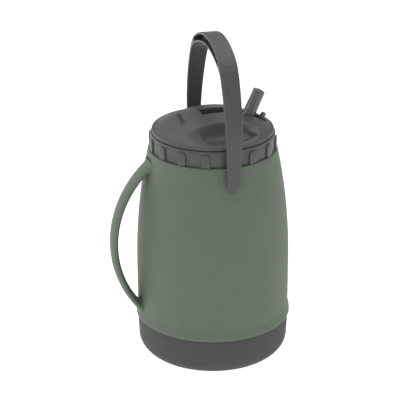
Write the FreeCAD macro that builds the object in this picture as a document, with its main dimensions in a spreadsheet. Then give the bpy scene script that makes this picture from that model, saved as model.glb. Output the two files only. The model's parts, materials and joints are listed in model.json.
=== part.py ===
import FreeCAD, Part
import math
import os
import Sketcher

# An insulated drinks jug: a double-walled steel vessel with a welded side handle, a rubber boot,
# a swinging bail, and a screw lid that carries a flip-up drinking spout. Millimetres and degrees.
# Origin: centre of the boot's underside. +Z up, -X towards the side handle, +X the way the spout
# leans, and the bail turns about an axis along Y.

doc = FreeCAD.newDocument("insulated_jug")
sheet = doc.addObject("Spreadsheet::Sheet", "dims")

DRIVING = {
    # steel vessel
    "steel_wall": 0.6,
    "barrel_radius": 82.0,
    "barrel_curve": 610.0,
    "barrel_curve_start": 104.0,
    "shoulder_height": 232.4,
    "neck_radius": 61.0,
    "rim_height": 243.0,
    "bead_radius": 83.8,
    "bead_low": 42.2,
    "bead_mid": 45.5,
    "bead_high": 52.0,
    "foot_radius": 79.0,
    "foot_corner": 12.6,
    "foot_height": 4.4,
    "foot_opening": 60.0,
    "mouth_radius": 57.5,
    "lip_radius": 61.4,
    "liner_neck_low": 226.0,
    "liner_shoulder": 205.0,
    "liner_gap": 4.0,
    "liner_floor": 13.0,
    "liner_corner": 12.0,
    "vacuum_port": 4.0,
    # rubber boot
    "boot_radius": 82.2,
    "boot_top": 41.8,
    "boot_corner": 16.5,
    "boot_taper": 1.9,
    "boot_centre_pad": 24.0,
    "boot_recess": 44.0,
    "boot_recess_depth": 1.6,
    # side handle
    "grip_centre": -7.9,
    "grip_height": 131.0,
    "grip_bend": 117.0,
    "grip_thickness": 7.8,
    "grip_width": 22.0,
    "grip_root_flare": 1.3,
    # bail
    "pivot_height": 215.5,
    "bail_span": 79.0,
    "bail_thickness": 4.0,
    "bail_leg_top": 246.0,
    "bail_side_arc": 165.0,
    "bail_elbow_reach": 54.7,
    "bail_elbow_height": 331.9,
    "bail_elbow_arc": 30.0,
    "bail_shoulder_reach": 44.3,
    "bail_shoulder_height": 341.9,
    "bail_crown_arc": 86.0,
    "palm_elbow_reach": 54.1,
    "palm_elbow_height": 324.3,
    "palm_elbow_arc": 16.0,
    "palm_shoulder_reach": 47.8,
    "palm_shoulder_height": 330.6,
    "palm_arc": 100.0,
    "bail_recess_reach": 47.0,
    "bail_flange": 2.2,
    "bail_web": 2.5,
    "bail_tip_radius": 6.7,
    "bail_waist_width": 16.4,
    "bail_waist_height": 258.0,
    "bail_neck_width": 18.2,
    "bail_neck_height": 290.0,
    "bail_crown_width": 19.5,
    "bail_crown_height": 325.0,
    "bail_lean": 0.8,
    "stud_radius": 3.0,
    "stud_head": 3.7,
    "pad_radius": 6.6,
    "pad_face": 73.6,
    "washer_thickness": 0.5,
    "boss_radius": 6.2,
    "bush_radius": 4.8,
    "socket_end": 77.8,
    "running_gap": 0.05,
    # thread between neck and ring
    "thread_pitch": 5.0,
    "thread_width": 1.8,
    "thread_reach": 1.5,
    "male_start": 235.5,
    "male_turns": 0.9,
    "female_start": 233.85,
    "female_turns": 0.83,
    "thread_phase": 60.0,
    # screw ring
    "ring_bottom": 232.7,
    "ring_top": 250.0,
    "ring_radius": 65.8,
    "ring_bore": 63.2,
    "ring_lip_bore": 60.2,
    "ring_lip_low": 247.7,
    "rib_radius": 67.6,
    "rib_width": 9.6,
    "rib_top": 246.6,
    "rib_count": 16,
    # dome
    "dome_low": 250.3,
    "dome_rim": 64.3,
    "dome_rim_top": 252.3,
    "dome_edge": 62.8,
    "dome_edge_height": 253.5,
    "dome_top": 273.0,
    "bridge_half": 31.0,
    "facet_height": 260.0,
    "facet_drop": 7.4,
    "scoop_floor": 252.6,
    "scoop_steep_end": 21.0,
    "scoop_tail_end": 36.0,
    "scoop_reach": 56.0,
    "slot_half": 7.6,
    "slot_start": 13.5,
    "slot_end": 57.0,
    "slot_step": 48.0,
    "slot_floor": 241.5,
    "slot_ledge": 252.3,
    "trough_wall": 3.0,
    "foam_half": 34.0,
    "foam_inner": 10.8,
    "foam_outer": 27.0,
    "foam_top": 260.0,
    # plug under the dome
    "plug_radius": 56.2,
    "plug_bottom": 222.0,
    "plug_wall": 2.4,
    "plug_neck": 59.6,
    "flange_radius": 62.6,
    "flange_low": 244.9,
    "flange_high": 247.4,
    "gasket_low": 243.9,
    "port_radius": 6.0,
    "port_top": 236.3,
    "port_bore": 2.6,
    "nipple_radius": 3.6,
    "nipple_low": 212.0,
    "vent_x": 5.0,
    "vent_pipe": 4.0,
    "vent_bore": 1.5,
    "foam_disc_top": 238.2,
    # spout and straw
    "hinge_x": 32.6,
    "hinge_height": 250.5,
    "hub_radius": 8.5,
    "hub_half": 7.0,
    "spout_length": 43.6,
    "spout_root": 6.7,
    "spout_tip": 5.6,
    "spout_bore": 3.0,
    "spout_tilt": 25.0,
    "tab_reach_x": 15.6,
    "tab_reach_up": 14.8,
    "tab_radius": 2.6,
    "tab_length": 7.0,
    "tab_bar": 4.4,
    "pin_radius": 1.5,
    "pin_half": 11.0,
    "seal_radius": 6.8,
    "seal_stand": 1.9,
    "straw_radius": 4.6,
    "straw_low": 17.5,
}


class Size:
    """A length with its value and the sheet expression that it comes from."""

    def __init__(self, value, text=None):
        self.value = float(value)
        self.text = text if text is not None else repr(float(value))

    def _join(self, other, sign, value):
        return Size(value, "(%s %s %s)" % (self.text, sign, other.text))

    def __add__(self, other):
        other = size(other)
        return self._join(other, "+", self.value + other.value)

    def __sub__(self, other):
        other = size(other)
        return self._join(other, "-", self.value - other.value)

    def __mul__(self, other):
        other = size(other)
        return self._join(other, "*", self.value * other.value)

    def __truediv__(self, other):
        other = size(other)
        return self._join(other, "/", self.value / other.value)

    def __radd__(self, other):
        return size(other) + self

    def __rsub__(self, other):
        return size(other) - self

    def __rmul__(self, other):
        return size(other) * self

    def __neg__(self):
        return Size(-self.value, "(-1 * %s)" % self.text)

    def root(self):
        return Size(math.sqrt(self.value), "sqrt(%s)" % self.text)


def size(value):
    return value if isinstance(value, Size) else Size(value)


class Dims:
    """The sheet's aliases as Size values."""


d = Dims()
for row, (alias, number) in enumerate(DRIVING.items(), 1):
    sheet.set("A%d" % row, alias.replace("_", " "))
    sheet.set("B%d" % row, str(number))
    sheet.setAlias("B%d" % row, alias)
    setattr(d, alias, Size(number, "dims." + alias))
doc.recompute()

PARTS = []


def keep(obj, label):
    """Marks a finished document object as the sub-part that is written as label.step."""
    obj.Label = label
    PARTS.append(obj)
    return obj


# ---------------------------------------------------------------- sketches and features


def new_body(name):
    return doc.addObject("PartDesign::Body", name)


def new_sketch(body, name, plane, offset=None):
    """A sketch on one of the body's own origin planes, raised along the plane's normal."""
    sketch = body.newObject("Sketcher::SketchObject", name)
    support = [f for f in body.Origin.OriginFeatures if f.Role == plane][0]
    sketch.AttachmentSupport = (support, [""])
    sketch.MapMode = "FlatFace"
    if offset is not None:
        sketch.setExpression("AttachmentOffset.Base.z", offset.text)
    return sketch


def pin_point(sketch, shape, end, x, y):
    """Ties one end of a sketch element to its sheet coordinates."""
    for kind, axis, coordinate in (("DistanceX", -2, x), ("DistanceY", -1, y)):
        if coordinate.value == 0.0:
            sketch.addConstraint(Sketcher.Constraint("PointOnObject", shape, end, axis))
        elif coordinate.value > 0.0:
            n = sketch.addConstraint(Sketcher.Constraint(kind, -1, 1, shape, end, coordinate.value))
            sketch.setExpression("Constraints[%d]" % n, coordinate.text)
        else:
            n = sketch.addConstraint(Sketcher.Constraint(kind, shape, end, -1, 1, -coordinate.value))
            sketch.setExpression("Constraints[%d]" % n, (-coordinate).text)


def arc_between(start, end, radius, left):
    """The short arc from start to end whose centre lies on the left or right of the chord."""
    chord = end - start
    middle = (start + end) * 0.5
    across = FreeCAD.Vector(-chord.y, chord.x, 0).normalize()
    rise = math.sqrt(max(radius * radius - chord.Length * chord.Length / 4, 0.0))
    centre = middle + across * (rise if left else -rise)
    first, last = (start, end) if left else (end, start)
    angles = [math.atan2(p.y - centre.y, p.x - centre.x) for p in (first, last)]
    circle = Part.Circle(centre, FreeCAD.Vector(0, 0, 1), radius)
    return Part.ArcOfCircle(circle, angles[0], angles[1])


def draw(sketch, corners):
    """Draws a closed outline. A corner is (x, y) for a straight run to the next corner, or
    (x, y, radius, "left" or "right") for an arc to it, centred on that side of the chord."""
    points = [(size(c[0]), size(c[1])) for c in corners]
    ends = []
    for i, corner in enumerate(corners):
        start, end = points[i], points[(i + 1) % len(points)]
        a = FreeCAD.Vector(start[0].value, start[1].value, 0)
        b = FreeCAD.Vector(end[0].value, end[1].value, 0)
        if len(corner) == 2:
            shape = sketch.addGeometry(Part.LineSegment(a, b), False)
            ends.append((shape, 1, 2))
        else:
            left = corner[3] == "left"
            shape = sketch.addGeometry(arc_between(a, b, corner[2].value, left), False)
            ends.append((shape, 1, 2) if left else (shape, 2, 1))
    for i, (shape, _, last) in enumerate(ends):
        following = ends[(i + 1) % len(ends)]
        joint = Sketcher.Constraint("Coincident", shape, last, following[0], following[1])
        sketch.addConstraint(joint)
    for (shape, first, _), (x, y) in zip(ends, points):
        pin_point(sketch, shape, first, x, y)
    for (shape, _, _), corner in zip(ends, corners):
        if len(corner) > 2:
            n = sketch.addConstraint(Sketcher.Constraint("Radius", shape, corner[2].value))
            sketch.setExpression("Constraints[%d]" % n, corner[2].text)
    return sketch


def draw_circle(sketch, x, y, radius):
    x, y = size(x), size(y)
    centre = FreeCAD.Vector(x.value, y.value, 0)
    up = FreeCAD.Vector(0, 0, 1)
    shape = sketch.addGeometry(Part.Circle(centre, up, radius.value), False)
    pin_point(sketch, shape, 3, x, y)
    n = sketch.addConstraint(Sketcher.Constraint("Radius", shape, radius.value))
    sketch.setExpression("Constraints[%d]" % n, radius.text)
    return sketch


def revolve(body, sketch, name):
    feature = body.newObject("PartDesign::Revolution", name)
    feature.Profile = sketch
    feature.ReferenceAxis = (sketch, ["V_Axis"])
    feature.Angle = 360.0
    sketch.Visibility = False
    return feature


def turned(name, corners):
    """A body turned about Z from an outline of (radius, height) corners."""
    body = new_body(name)
    revolve(body, draw(new_sketch(body, name + "_outline", "XZ_Plane"), corners), name + "_turn")
    return body


def pad(body, sketch, length, both_ways=False, reverse=False):
    feature = body.newObject("PartDesign::Pad", sketch.Name + "_pad")
    feature.Profile = sketch
    feature.setExpression("Length", size(length).text)
    feature.Midplane = both_ways
    feature.Reversed = reverse
    return feature


def pocket(body, sketch, length, both_ways=False, reverse=False):
    """Cuts the sketch into the body and checks that it took something away."""
    doc.recompute()
    before = body.Shape.Volume
    feature = body.newObject("PartDesign::Pocket", sketch.Name + "_cut")
    feature.Profile = sketch
    feature.setExpression("Length", size(length).text)
    feature.Midplane = both_ways
    feature.Reversed = reverse
    doc.recompute()
    if body.Shape.Volume > before - 1e-3:
        raise RuntimeError("%s cut nothing" % feature.Name)
    return feature


def helix_ridge(body, name, root, crest, start, turns, phase):
    """A screw-thread ridge of trapezium section, wound about Z inside or outside a wall."""
    pitch, half = d.thread_pitch.value, d.thread_width.value / 2
    tip = half * 0.5
    side = 1 if crest.value > root.value else -1
    bury = 0.4 * side
    spine = Part.makeHelix(pitch, pitch * turns.value, root.value)
    z = FreeCAD.Vector
    ring = [z(root.value - bury, 0, -half), z(crest.value, 0, -tip)]
    ring += [z(crest.value, 0, tip), z(root.value - bury, 0, half)]
    shell = Part.BRepOffsetAPI.MakePipeShell(Part.Wire(spine.Edges))
    shell.setFrenetMode(True)
    shell.add(Part.makePolygon(ring + ring[:1]))
    shell.build()
    shell.makeSolid()
    ridge = shell.shape()
    ridge.rotate(z(0, 0, 0), z(0, 0, 1), phase.value)
    ridge.translate(z(0, 0, start.value))
    feature = doc.addObject("Part::Feature", name)
    feature.Shape = ridge
    fused = doc.addObject("Part::Fuse", name + "_joined")
    fused.Base, fused.Tool = body, feature
    return fused


def cylinder(name, radius, length, base, axis="Z"):
    """A Part cylinder from base along +Z, +Y or -Y."""
    obj = doc.addObject("Part::Cylinder", name)
    obj.setExpression("Radius", size(radius).text)
    obj.setExpression("Height", size(length).text)
    turn = {"Z": 0.0, "Y": -90.0, "-Y": 90.0}[axis]
    obj.Placement.Rotation = FreeCAD.Rotation(FreeCAD.Vector(1, 0, 0), turn)
    for letter, coordinate in zip("xyz", base):
        obj.setExpression("Placement.Base." + letter, size(coordinate).text)
    return obj


def box(name, low, high):
    """A Part box between two corners."""
    obj = doc.addObject("Part::Box", name)
    for side, a, b in zip(("Length", "Width", "Height"), low, high):
        obj.setExpression(side, (size(b) - size(a)).text)
    for letter, a in zip("xyz", low):
        obj.setExpression("Placement.Base." + letter, size(a).text)
    return obj


def join(name, *objects):
    obj = doc.addObject("Part::MultiFuse", name)
    obj.Shapes = list(objects)
    return obj


def cut(name, base, tool):
    obj = doc.addObject("Part::Cut", name)
    obj.Base, obj.Tool = base, tool
    return obj


# ---------------------------------------------------------------- steel vessel


def barrel_edge(height, inset=0):
    """Radius of the curved barrel at a height, inset towards the axis."""
    sweep = (d.barrel_curve * d.barrel_curve - (height - d.barrel_curve_start)
             * (height - d.barrel_curve_start)).root()
    return d.barrel_radius - d.barrel_curve + sweep - inset


def make_outer_shell():
    w = d.steel_wall
    outside = [
        (d.neck_radius, d.rim_height),
        (d.neck_radius, d.shoulder_height),
        (barrel_edge(d.shoulder_height), d.shoulder_height, d.barrel_curve, "right"),
        (d.barrel_radius, d.barrel_curve_start),
        (d.barrel_radius, d.bead_high),
        (d.bead_radius, d.bead_mid),
        (d.bead_radius - 0.2, d.bead_low),
        (d.foot_radius, d.bead_low),
        (d.foot_radius, d.foot_height + d.foot_corner, d.foot_corner, "right"),
        (d.foot_radius - d.foot_corner, d.foot_height),
        (d.foot_opening, d.foot_height),
    ]
    inside = [
        (d.foot_opening, d.foot_height + w),
        (d.foot_radius - d.foot_corner, d.foot_height + w, d.foot_corner - w, "left"),
        (d.foot_radius - w, d.foot_height + d.foot_corner),
        (d.foot_radius - w, d.bead_low + w),
        (d.bead_radius - 0.2 - w, d.bead_low + w),
        (d.bead_radius - w - 0.1, d.bead_mid),
        (d.barrel_radius - w, d.bead_high),
        (d.barrel_radius - w, d.barrel_curve_start, d.barrel_curve - w, "left"),
        (inner_shoulder_radius(), d.shoulder_height - w),
        (d.neck_radius - w, d.shoulder_height - w),
        (d.neck_radius - w, d.rim_height),
    ]
    body = turned("outer_shell_body", outside + inside)
    threaded = helix_ridge(body, "neck_thread", d.neck_radius, d.neck_radius + d.thread_reach,
                           d.male_start, d.male_turns, Size(0.0))
    return keep(threaded, "outer_shell")


def inner_shoulder_radius():
    """Radius of the barrel's inner face just under the shoulder ledge."""
    w = d.steel_wall
    rise = d.shoulder_height - w - d.barrel_curve_start
    reach = d.barrel_curve - w
    return d.barrel_radius - d.barrel_curve + (reach * reach - rise * rise).root()


def make_liner():
    w = d.steel_wall
    outer = d.barrel_radius - w - d.liner_gap
    curve = d.barrel_curve - w - d.liner_gap
    rise = d.liner_shoulder - d.barrel_curve_start
    shoulder = outer - curve + (curve * curve - rise * rise).root()
    inner_curve = curve - w
    inner_shoulder = outer - curve + (inner_curve * inner_curve - rise * rise).root()
    mouth, corner = d.mouth_radius, d.liner_corner
    return keep(turned("inner_liner_body", [
        (mouth + w, d.rim_height),
        (mouth + w, d.liner_neck_low),
        (shoulder, d.liner_shoulder, curve, "right"),
        (outer, d.barrel_curve_start),
        (outer, d.liner_floor + corner, corner, "right"),
        (outer - corner, d.liner_floor),
        (0, d.liner_floor),
        (0, d.liner_floor + w),
        (outer - corner, d.liner_floor + w, corner - w, "left"),
        (outer - w, d.liner_floor + corner),
        (outer - w, d.barrel_curve_start, inner_curve, "left"),
        (inner_shoulder, d.liner_shoulder),
        (mouth, d.liner_neck_low - 0.4),
        (mouth, d.rim_height + w),
        (d.lip_radius, d.rim_height + w),
        (d.lip_radius, d.rim_height),
    ]), "inner_liner")


def make_base_plate():
    top = d.foot_height + d.steel_wall
    keep(turned("base_plate_body", [
        (d.vacuum_port, top),
        (d.foot_opening + 3, top),
        (d.foot_opening + 3, top + d.steel_wall),
        (d.vacuum_port, top + d.steel_wall),
    ]), "vessel_base_plate")
    keep(turned("vacuum_plug_body", [
        (0, d.foot_height),
        (d.vacuum_port + 3, d.foot_height),
        (d.vacuum_port + 3, top),
        (d.vacuum_port, top),
        (d.vacuum_port, top + d.steel_wall),
        (0, top + d.steel_wall),
    ]), "vacuum_port_plug")
    getter = cylinder("getter_disc", 9, 2, (22, 0, d.liner_floor - 2))
    keep(getter, "vacuum_getter")


def make_boot():
    r, c = d.boot_radius, d.boot_corner
    foot, inner = d.foot_radius, d.foot_corner
    keep(turned("base_boot_body", [
        (0, 0),
        (d.boot_centre_pad, 0),
        (d.boot_centre_pad + 1.6, d.boot_recess_depth),
        (d.boot_recess, d.boot_recess_depth),
        (d.boot_recess + 1.6, 0),
        (r - d.boot_taper - c, 0, c, "left"),
        (r - d.boot_taper, c),
        (r, d.boot_top),
        (foot, d.boot_top),
        (foot, d.foot_height + inner, inner, "right"),
        (foot - inner, d.foot_height),
        (0, d.foot_height),
    ]), "base_boot")


def barrel_tool(name):
    """The solid inside the vessel's outer face, used to fit welded pieces to it."""
    return turned(name, [
        (0, d.bead_low),
        (d.bead_radius - 0.2, d.bead_low),
        (d.bead_radius, d.bead_mid),
        (d.barrel_radius, d.bead_high),
        (d.barrel_radius, d.barrel_curve_start, d.barrel_curve, "left"),
        (barrel_edge(d.shoulder_height), d.shoulder_height),
        (0, d.shoulder_height),
    ])


def grip_section(body, angle, flare):
    """An oval across the grip, turned by an angle about the centre of the grip's bend."""
    tag = ("%s%d" % ("up" if angle >= 0 else "down", round(abs(angle))))
    sketch = new_sketch(body, "grip_" + tag, "XY_Plane", d.grip_height)
    sketch.setExpression("AttachmentOffset.Base.x", (-d.grip_centre).text)
    turn = FreeCAD.Rotation(FreeCAD.Vector(0, 1, 0), angle)
    base = FreeCAD.Vector(-d.grip_centre.value, 0, d.grip_height.value)
    sketch.AttachmentOffset = FreeCAD.Placement(base, turn)
    wide, thick = d.grip_width * flare, d.grip_thickness * flare
    middle = FreeCAD.Vector(-d.grip_bend.value, 0, 0)
    along = FreeCAD.Vector(0, wide.value / 2, 0)
    across = FreeCAD.Vector(thick.value / 2, 0, 0)
    shape = sketch.addGeometry(Part.Ellipse(middle + along, middle + across, middle), False)
    sketch.exposeInternalGeometry(shape)
    pin_point(sketch, shape, 3, -d.grip_bend, Size(0.0))
    for line, length in ((shape + 1, wide), (shape + 2, thick)):
        n = sketch.addConstraint(Sketcher.Constraint("Distance", line, length.value))
        sketch.setExpression("Constraints[%d]" % n, length.text)
    sketch.addConstraint(Sketcher.Constraint("Vertical", shape + 1))
    return sketch


def make_side_handle():
    """An oval bar bent to an arc in the XZ plane. Its ends flare out where they are welded on,
    and are cut to fit the barrel."""
    body = new_body("side_handle_body")
    full = d.grip_root_flare
    stations = [(-44, full), (-41, (full + 2) / 3), (-37, Size(1.0)), (-33, Size(1.0)),
                (-17, Size(1.0)), (0, Size(1.0)), (19, Size(1.0)), (34, Size(1.0)),
                (40, Size(1.03)), (45.5, (full + 2) / 3), (50.5, full)]
    sections = [grip_section(body, angle, flare) for angle, flare in stations]
    doc.recompute()
    loft = body.newObject("PartDesign::AdditiveLoft", "grip_arc")
    loft.Profile = sections[0]
    loft.Sections = sections[1:]
    keep(cut("side_handle_fitted", body, barrel_tool("barrel_for_handle")), "side_handle")


# ---------------------------------------------------------------- bail and its pivots


def crown_centre(shoulder_height, reach, radius):
    """Height of the centre of an arc that crosses the axis and ends at a shoulder."""
    return shoulder_height - (radius * radius - reach * reach).root()


def bail_band():
    """The bail's band seen along X: straight legs, long side arcs, and a crown that is thicker
    over the palm."""
    span, low = d.bail_span, d.pivot_height - d.bail_tip_radius
    inner, inner_arc = span - d.bail_thickness, d.bail_side_arc - d.bail_thickness
    body = new_body("bail_band_body")
    sketch = draw(new_sketch(body, "bail_band", "YZ_Plane"), [
        (span, low),
        (span, d.bail_leg_top, d.bail_side_arc, "left"),
        (d.bail_elbow_reach, d.bail_elbow_height, d.bail_elbow_arc, "left"),
        (d.bail_shoulder_reach, d.bail_shoulder_height, d.bail_crown_arc, "left"),
        (-d.bail_shoulder_reach, d.bail_shoulder_height, d.bail_elbow_arc, "left"),
        (-d.bail_elbow_reach, d.bail_elbow_height, d.bail_side_arc, "left"),
        (-span, d.bail_leg_top),
        (-span, low),
        (-inner, low),
        (-inner, d.bail_leg_top, inner_arc, "right"),
        (-d.palm_elbow_reach, d.palm_elbow_height, d.palm_elbow_arc, "right"),
        (-d.palm_shoulder_reach, d.palm_shoulder_height, d.palm_arc, "right"),
        (d.palm_shoulder_reach, d.palm_shoulder_height, d.palm_elbow_arc, "right"),
        (d.palm_elbow_reach, d.palm_elbow_height, inner_arc, "right"),
        (inner, d.bail_leg_top),
        (inner, low),
    ])
    pad(body, sketch, d.bail_crown_width * 2, both_ways=True)
    return body


def bail_front():
    """The bail seen along Y: rounded tips and legs that widen upwards to the crown."""
    tip, z = d.bail_tip_radius, d.pivot_height
    body = new_body("bail_front_body")
    levels = (
        (d.bail_waist_width / 2, d.bail_waist_height),
        (d.bail_neck_width / 2, d.bail_neck_height),
        (d.bail_crown_width / 2, d.bail_crown_height),
        (d.bail_crown_width / 2, d.bail_crown_height * 2),
    )
    right = [(reach, height) for reach, height in levels]
    left = [(-reach, height) for reach, height in reversed(levels)]
    outline = [(-tip, z, tip, "left"), (0, z - tip, tip, "left"), (tip, z), *right, *left]
    sketch = draw(new_sketch(body, "bail_front", "XZ_Plane"), outline)
    pad(body, sketch, d.bail_span * 3, both_ways=True)
    return body


def bail_recess(tag, side):
    """The crescent that is cored out of one side of the crown, down to the middle web."""
    reach = d.bail_recess_reach
    roof = d.bail_crown_arc - d.bail_flange
    floor = d.palm_arc + d.bail_flange
    roof_centre = crown_centre(d.bail_shoulder_height, d.bail_shoulder_reach, d.bail_crown_arc)
    floor_centre = crown_centre(d.palm_shoulder_height, d.palm_shoulder_reach, d.palm_arc)
    roof_end = roof_centre + (roof * roof - reach * reach).root()
    floor_end = floor_centre + (floor * floor - reach * reach).root()
    body = new_body("bail_recess_" + tag)
    sketch = draw(new_sketch(body, "bail_crescent_" + tag, "YZ_Plane", d.bail_web / 2 * side), [
        (reach, roof_end, roof, "left"),
        (-reach, roof_end),
        (-reach, floor_end, floor, "right"),
        (reach, floor_end),
    ])
    pad(body, sketch, d.bail_crown_width, reverse=side < 0)
    return body


def make_bail():
    common = doc.addObject("Part::Common", "bail_strap")
    common.Base, common.Tool = bail_band(), bail_front()
    face = d.pad_face + d.washer_thickness
    bosses, hollows = [], [bail_recess("left", -1), bail_recess("right", 1)]
    for axis, side in (("-Y", -1), ("Y", 1)):
        tag = "front" if side < 0 else "rear"
        bosses.append(cylinder("boss_" + tag, d.boss_radius, d.bail_span - d.bail_thickness / 2 - face,
                               (0, face * side, d.pivot_height), axis))
        hollows.append(cylinder("socket_" + tag, d.bush_radius, d.socket_end - face + 1,
                                (0, (face - 1) * side, d.pivot_height), axis))
    solid = join("bail_with_bosses", common, *bosses)
    bail = cut("bail_hollowed", solid, join("bail_hollows", *hollows))
    pivot = FreeCAD.Vector(0, 0, d.pivot_height.value)
    lean = FreeCAD.Rotation(FreeCAD.Vector(0, 1, 0), d.bail_lean.value)
    bail.Placement = FreeCAD.Placement(FreeCAD.Vector(), lean, pivot)
    keep(bail, "bail_handle")


def make_pivot(tag, axis, side):
    """One pivot: a headed stud welded to the barrel, a thin washer and a snap-in bush."""
    z, face = d.pivot_height, d.pad_face
    skin = face + d.washer_thickness
    weld_pad = cylinder("pad_" + tag, d.pad_radius, 12, (0, (face - 12) * side, z), axis)
    shank = cylinder("shank_" + tag, d.stud_radius, d.socket_end - 1.2 - face + 5,
                     (0, (face - 5) * side, z), axis)
    head = cylinder("head_" + tag, d.stud_head, 1.0, (0, (d.socket_end - 1.2) * side, z), axis)
    stud = join("stud_" + tag, weld_pad, shank, head)
    keep(cut("stud_fitted_" + tag, stud, barrel_tool("barrel_for_" + tag)), "bail_stud_" + tag)
    for name, radius, start, length in (
        ("washer", d.boss_radius - 0.2, face, d.washer_thickness),
        ("bush", d.bush_radius, skin, d.socket_end - 1.3 - skin),
    ):
        solid = cylinder(name + "_disc_" + tag, radius, length, (0, start * side, z), axis)
        hole = cylinder(name + "_hole_" + tag, d.stud_radius + d.running_gap, length + 2,
                        (0, (start - 1) * side, z), axis)
        keep(cut(name + "_made_" + tag, solid, hole), "bail_%s_%s" % (name, tag))


# ---------------------------------------------------------------- lid


def make_screw_ring():
    """The grip ring: an inward lip that pulls the lid down, ribs outside, thread inside."""
    body = turned("screw_ring_body", [
        (d.ring_bore, d.ring_bottom),
        (d.ring_radius, d.ring_bottom),
        (d.ring_radius, d.ring_top - 1.0),
        (d.ring_radius - 1.0, d.ring_top),
        (d.ring_lip_bore, d.ring_top),
        (d.ring_lip_bore, d.ring_lip_low),
        (d.ring_bore, d.ring_lip_low),
    ])
    rib = new_sketch(body, "rib_plan", "XY_Plane", d.ring_bottom)
    half = d.rib_width / 2
    draw(rib, [
        (-half, -(d.ring_bore + 1)),
        (-half, -(d.ring_radius + 0.5)),
        (-(half - 0.9), -d.rib_radius),
        (half - 0.9, -d.rib_radius),
        (half, -(d.ring_radius + 0.5)),
        (half, -(d.ring_bore + 1)),
    ])
    feature = pad(body, rib, d.rib_top - d.ring_bottom)
    doc.recompute()
    pattern = body.newObject("PartDesign::PolarPattern", "ribs")
    pattern.Originals = [feature]
    pattern.Axis = (rib, ["N_Axis"])
    pattern.Angle = 360
    pattern.setExpression("Occurrences", d.rib_count.text)
    body.Tip = pattern
    threaded = helix_ridge(body, "ring_thread", d.ring_bore, d.ring_bore - d.thread_reach - 0.1,
                           d.female_start, d.female_turns, d.thread_phase)
    keep(threaded, "lid_screw_ring")


def scoop_outline(turn):
    """Plan of a finger scoop: a steep rounded end, a deep belly and a long shallow tail."""
    inner, reach = d.bridge_half + 0.2, d.scoop_reach
    steep, tail = d.scoop_steep_end, d.scoop_tail_end
    corner = Size(9.0)
    bend_start, bend_end = steep - corner * 0.6, tail - 2.5
    points = [
        (-steep, -inner),
        (-steep, -(reach - corner), corner, "left"),
        (-bend_start, -(reach * reach - bend_start * bend_start).root(), reach, "left"),
        (bend_end, -(reach * reach - bend_end * bend_end).root(), Size(2.0), "left"),
        (tail - 2, -(inner + 12.5)),
        (tail - 20, -inner),
    ]
    return [tuple([size(p[0]) * turn, size(p[1]) * turn]) + tuple(p[2:]) for p in points]


def make_dome():
    """The lid's top: a shallow dome with a central bridge, two sloping facets with finger
    scoops, and a slot through the bridge that the folded spout lies in."""
    rise = d.dome_top - d.dome_edge_height
    sphere = (d.dome_edge * d.dome_edge + rise * rise) / (rise * 2)
    body = turned("lid_dome_body", [
        (0, d.dome_low),
        (d.dome_rim, d.dome_low),
        (d.dome_rim, d.dome_rim_top),
        (d.dome_edge, d.dome_edge_height, sphere, "left"),
        (0, d.dome_top),
    ])
    wall = d.trough_wall
    trough = new_sketch(body, "trough_plan", "XY_Plane", d.slot_floor - wall)
    half = d.slot_half + wall
    draw(trough, [
        (-(d.slot_start + wall), -half),
        (d.slot_step + wall, -half),
        (d.slot_step + wall, half),
        (-(d.slot_start + wall), half),
    ])
    pad(body, trough, d.dome_low - d.slot_floor + wall + 1)
    far = Size(75.0)
    far_height = d.facet_height - (far - d.bridge_half) * (d.facet_drop / 44)
    for sign, tag in ((-1, "front"), (1, "rear")):
        facet = new_sketch(body, "facet_" + tag, "YZ_Plane")
        draw(facet, [
            (d.bridge_half * sign, d.facet_height),
            (d.bridge_half * sign, d.dome_top + 4),
            (far * sign, d.dome_top + 4),
            (far * sign, far_height),
        ])
        pocket(body, facet, 200, both_ways=True)
        scoop = new_sketch(body, "scoop_" + tag, "XY_Plane", d.scoop_floor)
        draw(scoop, scoop_outline(-sign))
        pocket(body, scoop, d.dome_top - d.scoop_floor + 2, reverse=True)
    for tag, start, end, floor in (
        ("deep", d.slot_start, d.slot_step, d.slot_floor),
        ("ledge", d.slot_start, d.slot_end, d.slot_ledge),
    ):
        slot = new_sketch(body, "slot_" + tag, "XY_Plane", floor)
        draw(slot, [
            (-start, -d.slot_half),
            (end, -d.slot_half),
            (end, d.slot_half),
            (-start, d.slot_half),
        ])
        pocket(body, slot, d.dome_top - floor + 2, reverse=True)
    for sign, tag in ((-1, "front"), (1, "rear")):
        pouch = new_sketch(body, "foam_pouch_" + tag, "XY_Plane", d.dome_low - 0.1)
        draw(pouch, [
            (-d.foam_half, d.foam_inner * sign),
            (d.foam_half, d.foam_inner * sign),
            (d.foam_half, d.foam_outer * sign),
            (-d.foam_half, d.foam_outer * sign),
        ])
        pocket(body, pouch, d.foam_top - d.dome_low + 0.1, reverse=True)
    port = new_sketch(body, "port_hole", "XY_Plane", d.slot_floor - wall - 1)
    draw_circle(port, d.hinge_x, 0, d.seal_radius + d.running_gap)
    pocket(body, port, wall + 2, reverse=True)
    vent = new_sketch(body, "vent_hole", "XY_Plane", d.slot_floor - wall - 1)
    draw_circle(vent, d.vent_x, 0, d.vent_bore)
    pocket(body, vent, wall + 2, reverse=True)
    pin = new_sketch(body, "pin_hole", "XZ_Plane")
    draw_circle(pin, d.hinge_x, d.hinge_height, d.pin_radius)
    pocket(body, pin, d.pin_half * 2, both_ways=True)
    doc.recompute()
    keep(body, "lid_dome")


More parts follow.
